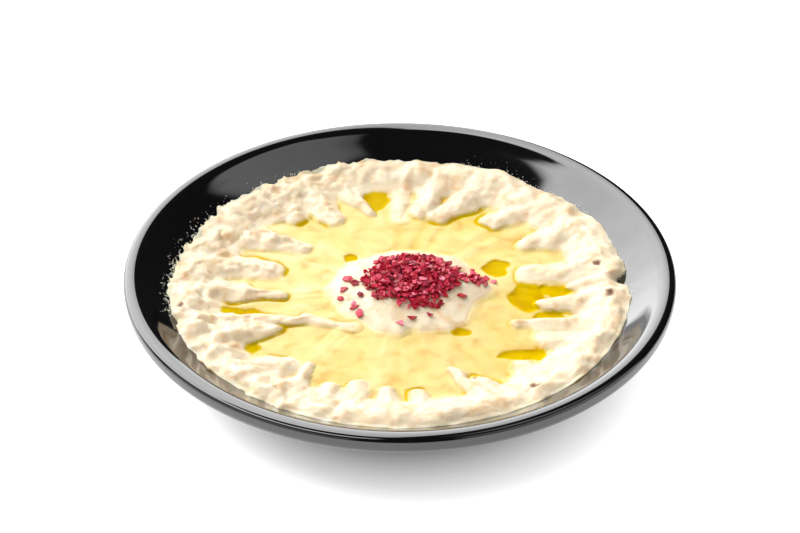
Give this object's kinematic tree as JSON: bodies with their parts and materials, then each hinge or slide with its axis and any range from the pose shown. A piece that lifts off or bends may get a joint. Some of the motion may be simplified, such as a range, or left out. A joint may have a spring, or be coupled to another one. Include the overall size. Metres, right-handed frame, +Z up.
{
  "type": "baba ganoush",
  "caption": "Cream aubergine dip spread in a shallow black glazed bowl, with spoon-made ridges, olive oil in the moat and a heap of red sumac flakes on the middle mound.",
  "frame": {"origin": "on the table, under the centre of the bowl's foot", "axes": "+Z up; -Y towards the eater, the side from which the picture looks; +X to that eater's right"},
  "size_m": [0.2, 0.2, 0.037],
  "materials": {
    "black_glaze": "glossy black glaze",
    "aubergine_cream": "moist, soft cream",
    "olive_oil": "clear, glossy",
    "sumac_flakes": "dry with a slight sheen"
  },
  "bodies": {
    "root": {"bowl": "black_glaze", "baba_ganoush": "aubergine_cream", "olive_oil": "olive_oil"}
  },
  "joints": []
}
